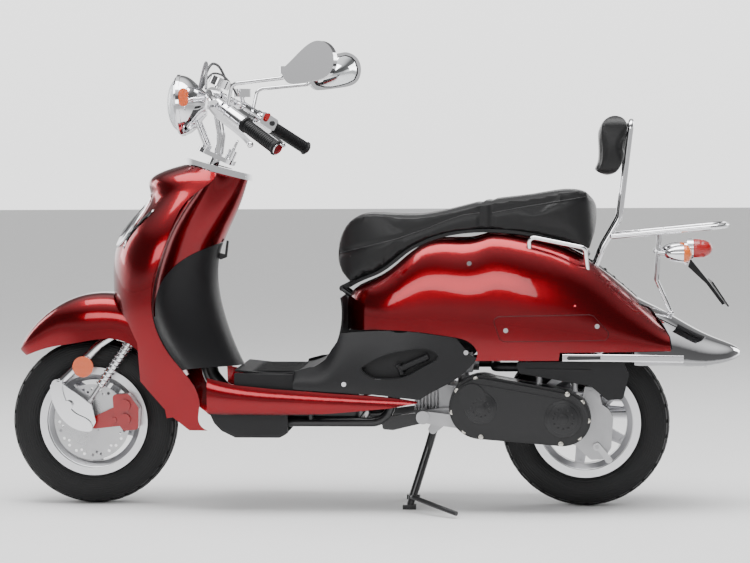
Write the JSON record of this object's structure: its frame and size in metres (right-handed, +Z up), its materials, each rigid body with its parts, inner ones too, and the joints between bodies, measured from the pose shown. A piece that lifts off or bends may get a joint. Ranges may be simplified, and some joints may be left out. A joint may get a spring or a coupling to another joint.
{
  "type": "moped scooter",
  "caption": "Retro step-through scooter with trailing-link fork, swinging belt-drive engine, hinged bench seat, backrest and rear carrier.",
  "frame": {"origin": "on the ground, at the middle of the length and width", "axes": "+X to the rear, +Y to the rider's right, +Z up"},
  "size_m": [1.879, 0.74, 1.1803],
  "materials": {
    "red_plastic": "metallic gloss",
    "black_plastic": "satin",
    "chrome": "polished",
    "frame_black": "satin",
    "rubber": "matte",
    "tyre": "matte",
    "rim": "painted silver",
    "steel": "brushed",
    "alloy": "cast",
    "caliper_red": "gloss",
    "seat_cover": "grained vinyl",
    "lens_clear": "clear",
    "lens_red": "translucent",
    "red_switch": "gloss",
    "mirror": "polished",
    "cable": "braided",
    "engine_black": "satin"
  },
  "bodies": {
    "chassis": {"frame": "frame_black", "front_apron": "red_plastic", "apron_collar": "chrome", "inner_cover": "red_plastic", "knee_panel": "black_plastic", "floorboard": "black_plastic", "side_sills": "red_plastic", "belly_pan": "black_plastic", "side_covers": "red_plastic", "peg_covers": "black_plastic", "tail_brackets": "black_plastic", "tail_fairing": "red_plastic", "rack": "chrome", "backrest_pad": "seat_cover", "tail_lamp": "chrome", "tail_lenses": "lens_red", "seat_bucket": "black_plastic", "fuel_tank": "frame_black", "body_screws": "chrome"},
    "seat": {"seat_base": "black_plastic", "seat_cushion": "seat_cover"},
    "steering": {"fork": "chrome", "front_fender": "red_plastic", "handlebar": "chrome", "left_grip": "rubber", "switch_pods": "chrome", "headlight_shell": "chrome", "front_lenses": "lens_clear", "control_cables": "cable"},
    "throttle": {"throttle_grip": "rubber"},
    "left_brake_lever": {"left_lever": "chrome"},
    "right_brake_lever": {"right_lever": "chrome"},
    "left_mirror_head": {"left_mirror": "mirror"},
    "right_mirror_head": {"right_mirror": "mirror"},
    "kill_knob": {"kill_switch": "red_switch"},
    "starter": {"starter_button": "black_plastic"},
    "horn": {"horn_button": "black_plastic"},
    "turn_knob": {"turn_switch": "black_plastic"},
    "key": {"ignition_key": "steel"},
    "front_link": {"front_links": "chrome", "brake_caliper": "caliper_red"},
    "front_wheel": {"front_rim": "rim", "front_tyre": "tyre", "brake_disc": "steel"},
    "front_shock": {"front_shock_tubes": "chrome"},
    "front_rod": {"front_shock_rods": "steel"},
    "engine": {"engine_block": "alloy", "cvt_cover": "engine_black", "airbox": "black_plastic", "muffler": "chrome"},
    "crank_pulley": {"drive_pulley": "steel"},
    "clutch_pulley": {"driven_pulley": "steel"},
    "rear_wheel": {"rear_rim": "rim", "rear_tyre": "tyre"},
    "rear_shock": {"rear_shock_tube": "chrome"},
    "rear_rod": {"rear_shock_rod": "steel"},
    "stand": {"centre_stand": "frame_black"},
    "drum_arm": {"brake_arm": "steel"},
    "left_peg": {"left_footpeg": "rubber"},
    "right_peg": {"right_footpeg": "rubber"}
  },
  "joints": [
    {"name": "steer", "type": "hinge", "parent": "chassis", "child": "steering", "pos_m": [-0.41, 0, 0.879], "axis": [0.4226, 0, 0.9063], "range_deg": [-38, 38]},
    {"name": "front_suspension", "type": "hinge", "parent": "steering", "child": "front_link", "pos_m": [-0.81, 0, 0.314], "axis": [0, -1, 0], "range_deg": [0, 24], "stiffness_Nm_per_rad": 150, "springref_deg": -31.51},
    {"name": "front_wheel_spin", "type": "hinge", "parent": "front_link", "child": "front_wheel", "pos_m": [-0.724, 0, 0.216], "axis": [0, 1, 0], "continuous": true},
    {"name": "front_shock_swing", "type": "hinge", "parent": "steering", "child": "front_shock", "pos_m": [-0.606, 0, 0.446], "axis": [0, -1, 0], "range_deg": [-8, 8]},
    {"name": "front_shock_stroke", "type": "slide", "parent": "front_shock", "child": "front_rod", "axis": [0.5741, 0, 0.8188], "range_m": [-0.002, 0.05]},
    {"name": "engine_swing", "type": "hinge", "parent": "chassis", "child": "engine", "pos_m": [0.137, 0, 0.239], "axis": [0, -1, 0], "range_deg": [0, 7], "stiffness_Nm_per_rad": 1500, "springref_deg": -17.19},
    {"name": "rear_wheel_spin", "type": "hinge", "parent": "engine", "child": "rear_wheel", "pos_m": [0.548, 0, 0.216], "axis": [0, 1, 0], "continuous": true},
    {"name": "rear_shock_swing", "type": "hinge", "parent": "chassis", "child": "rear_shock", "pos_m": [0.59, -0.078, 0.52], "axis": [0, -1, 0], "range_deg": [-12, 12]},
    {"name": "rear_shock_stroke", "type": "slide", "parent": "rear_shock", "child": "rear_rod", "axis": [0.1351, 0, 0.9908], "range_m": [-0.002, 0.06]},
    {"name": "crank_spin", "type": "hinge", "parent": "engine", "child": "crank_pulley", "pos_m": [0.285, -0.15, 0.27], "axis": [0, 1, 0], "continuous": true},
    {"name": "clutch_spin", "type": "hinge", "parent": "engine", "child": "clutch_pulley", "pos_m": [0.49, -0.15, 0.243], "axis": [0, 1, 0], "continuous": true},
    {"name": "stand_fold", "type": "hinge", "parent": "engine", "child": "stand", "pos_m": [0.159, 0, 0.2], "axis": [0, -1, 0], "range_deg": [0, 75]},
    {"name": "drum_arm_swing", "type": "hinge", "parent": "engine", "child": "drum_arm", "pos_m": [0.576, -0.106, 0.164], "axis": [0, 1, 0], "range_deg": [0, 13]},
    {"name": "seat_lid", "type": "hinge", "parent": "chassis", "child": "seat", "pos_m": [-0.074, 0, 0.561], "axis": [0, -1, 0], "range_deg": [0, 75]},
    {"name": "left_lever_pull", "type": "hinge", "parent": "steering", "child": "left_brake_lever", "pos_m": [-0.378, -0.26, 1.027], "axis": [0.2425, -0.5585, 0.7932], "range_deg": [0, 6], "stiffness_Nm_per_rad": 0.8, "springref_deg": -34.38},
    {"name": "right_lever_pull", "type": "hinge", "parent": "steering", "child": "right_brake_lever", "pos_m": [-0.378, 0.26, 1.027], "axis": [-0.2425, -0.5585, -0.7932], "range_deg": [0, 6], "stiffness_Nm_per_rad": 0.8, "springref_deg": -34.38},
    {"name": "throttle_twist", "type": "hinge", "parent": "steering", "child": "throttle", "pos_m": [-0.201, 0.345, 0.918], "axis": [0.7085, 0.5069, -0.491], "range_deg": [0, 75], "stiffness_Nm_per_rad": 0.2, "springref_deg": -34.38},
    {"name": "left_mirror_turn", "type": "hinge", "parent": "steering", "child": "left_mirror_head", "pos_m": [-0.19, -0.295, 1.11], "axis": [0, 0, 1], "range_deg": [-6, 20]},
    {"name": "right_mirror_turn", "type": "hinge", "parent": "steering", "child": "right_mirror_head", "pos_m": [-0.19, 0.295, 1.11], "axis": [0, 0, 1], "range_deg": [-20, 6]},
    {"name": "kill_turn", "type": "hinge", "parent": "steering", "child": "kill_knob", "pos_m": [-0.31815, 0.26118, 0.99918], "axis": [0.5819, -0.8133, 0], "range_deg": [0, 40]},
    {"name": "turn_signal_turn", "type": "hinge", "parent": "steering", "child": "turn_knob", "pos_m": [-0.31815, -0.26118, 0.99918], "axis": [0.5819, 0.8133, 0], "range_deg": [-15, 15]},
    {"name": "starter_press", "type": "slide", "parent": "steering", "child": "starter", "axis": [-0.5819, 0.8133, 0], "range_m": [0, 0.003], "stiffness_N_per_m": 300, "springref_m": -0.002},
    {"name": "horn_press", "type": "slide", "parent": "steering", "child": "horn", "axis": [-0.5819, -0.8133, 0], "range_m": [0, 0.003], "stiffness_N_per_m": 300, "springref_m": -0.002},
    {"name": "key_turn", "type": "hinge", "parent": "steering", "child": "key", "pos_m": [-0.36753, 0, 0.89435], "axis": [0.4226, 0, 0.9063], "range_deg": [0, 90]},
    {"name": "left_peg_fold", "type": "hinge", "parent": "chassis", "child": "left_peg", "pos_m": [0.084, -0.182, 0.367], "axis": [0.4114, 0, -0.9114], "range_deg": [0, 85]},
    {"name": "right_peg_fold", "type": "hinge", "parent": "chassis", "child": "right_peg", "pos_m": [0.084, 0.182, 0.367], "axis": [-0.4114, 0, 0.9114], "range_deg": [0, 85]}
  ],
  "couplings": [
    {"joint": "front_shock_swing", "follows": "front_suspension", "ratio": -0.10223},
    {"joint": "front_shock_stroke", "follows": "front_suspension", "m_per_rad": 0.090526},
    {"joint": "rear_shock_swing", "follows": "engine_swing", "ratio": -0.76327},
    {"joint": "rear_shock_stroke", "follows": "engine_swing", "m_per_rad": 0.39949},
    {"joint": "clutch_spin", "follows": "crank_spin", "ratio": 0.9},
    {"joint": "drum_arm_swing", "follows": "left_lever_pull", "ratio": 1.7}
  ]
}
